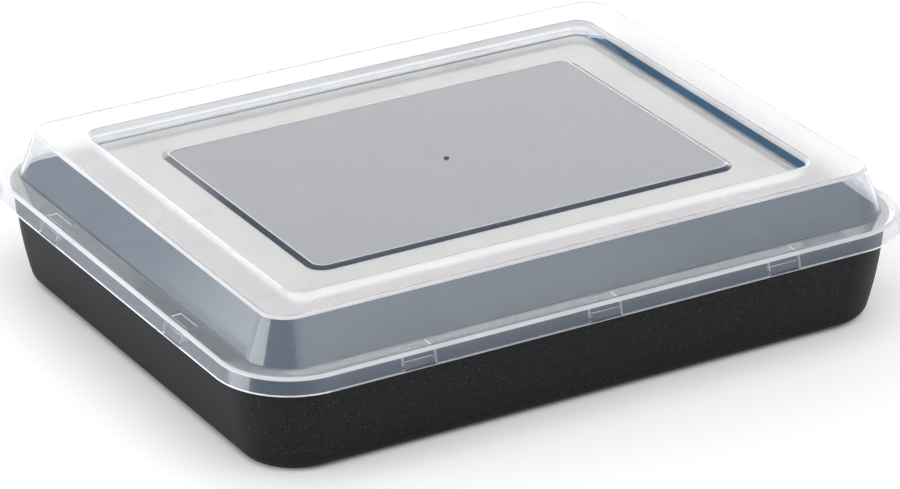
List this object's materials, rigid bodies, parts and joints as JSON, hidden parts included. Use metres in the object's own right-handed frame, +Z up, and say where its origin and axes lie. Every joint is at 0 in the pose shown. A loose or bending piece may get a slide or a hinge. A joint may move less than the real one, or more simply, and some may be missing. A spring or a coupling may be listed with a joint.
{
  "type": "cake pan with lid",
  "caption": "Rectangular baking pan with round corners, tapered walls and a rolled rim, closed by a translucent domed snap lid.",
  "frame": {"origin": "under the middle of the pan's base, on the surface that it stands on", "axes": "+X along the pan's length, +Y along its width, +Z up"},
  "size_m": [0.3638, 0.2898, 0.0764],
  "materials": {
    "coated_steel": "satin black non-stick coating with a fine pale speckle on pressed sheet steel",
    "lid_plastic": "milky translucent moulded polypropylene, smooth"
  },
  "bodies": {
    "pan": {"pan": "coated_steel"},
    "lid": {"lid": "lid_plastic"}
  },
  "joints": [
    {"name": "lid_lift", "type": "slide", "parent": "pan", "child": "lid", "axis": [0, 0, 1], "range_m": [0, 0.1]}
  ]
}
